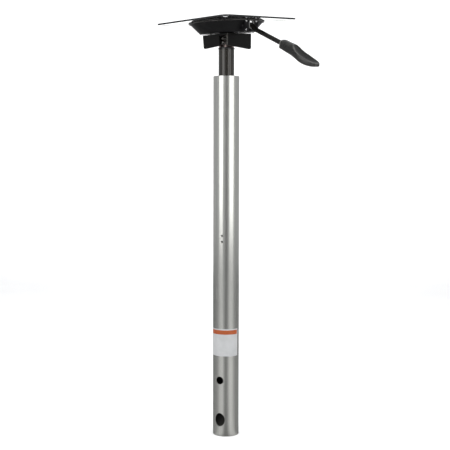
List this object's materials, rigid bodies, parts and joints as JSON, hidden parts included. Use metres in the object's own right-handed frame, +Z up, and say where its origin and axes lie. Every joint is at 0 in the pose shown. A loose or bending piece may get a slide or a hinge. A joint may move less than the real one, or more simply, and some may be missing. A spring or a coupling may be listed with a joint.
{
  "type": "boat seat pedestal",
  "caption": "Gas-lift boat seat post: aluminium tube, telescoping gas cylinder, raked square seat plate on a round dish, folded hub bracket and a side release lever.",
  "frame": {"origin": "centre of the post's bottom end, on the tube's axis", "axes": "+Z up the post, +X towards the release lever, +Y towards the raised front edge of the seat plate; stored at the lowest height"},
  "size_m": [0.2973, 0.1777, 0.7447],
  "materials": {
    "anodised_tube": "clear anodised, drawn",
    "label_foil": "satin label film",
    "acetal": "matte",
    "race_steel": "ground",
    "cage_nylon": "matte",
    "rod_steel": "polished",
    "black_rubber": "matte",
    "cylinder_black": "semi-gloss black",
    "collar_black": "satin",
    "head_black": "gloss black powder coat",
    "rivet_zinc": "bright zinc",
    "bush_grey": "satin",
    "lever_black": "satin black",
    "grip_plastic": "gloss black moulding"
  },
  "bodies": {
    "post": {"outer_tube": "anodised_tube", "post_label": "label_foil", "guide_bushing": "acetal", "base_plug": "acetal", "lower_race": "race_steel"},
    "column": {"bearing_balls": "race_steel", "ball_cage": "cage_nylon", "upper_race": "race_steel", "piston_rod": "rod_steel", "retaining_clip": "race_steel", "clip_washer": "race_steel", "bump_stop": "black_rubber", "piston": "race_steel", "piston_seal": "black_rubber", "piston_nut": "race_steel"},
    "head": {"pressure_tube": "cylinder_black", "cylinder_collar": "collar_black", "rod_guide": "acetal", "rod_seal": "black_rubber", "valve_body": "race_steel", "taper_hub": "head_black", "seat_plate": "head_black", "support_dish": "head_black", "hub_spacer": "head_black", "hub_bracket": "head_black", "lever_guide": "head_black", "guide_rivets": "rivet_zinc", "guide_bush": "bush_grey", "pivot_clevis": "head_black", "pivot_pin": "rivet_zinc", "push_nuts": "rivet_zinc"},
    "lever": {"lever_rod": "lever_black", "lever_grip": "grip_plastic"},
    "valve": {"valve_pin": "race_steel"}
  },
  "joints": [
    {"name": "swivel", "type": "hinge", "parent": "post", "child": "column", "pos_m": [0, 0, 0.37], "axis": [0, 0, 1], "continuous": true},
    {"name": "height", "type": "slide", "parent": "column", "child": "head", "axis": [0, 0, 1], "range_m": [0, 0.16]},
    {"name": "release", "type": "hinge", "parent": "head", "child": "lever", "pos_m": [0.036, 0.00049, 0.72797], "axis": [0, -0.9983, -0.0576], "range_deg": [0, 4.7], "stiffness_Nm_per_rad": 12, "springref_deg": -3.44},
    {"name": "valve", "type": "slide", "parent": "head", "child": "valve", "axis": [0, 0, -1], "range_m": [0, 0.003]}
  ],
  "couplings": [
    {"joint": "valve", "follows": "release", "m_per_rad": 0.036}
  ]
}
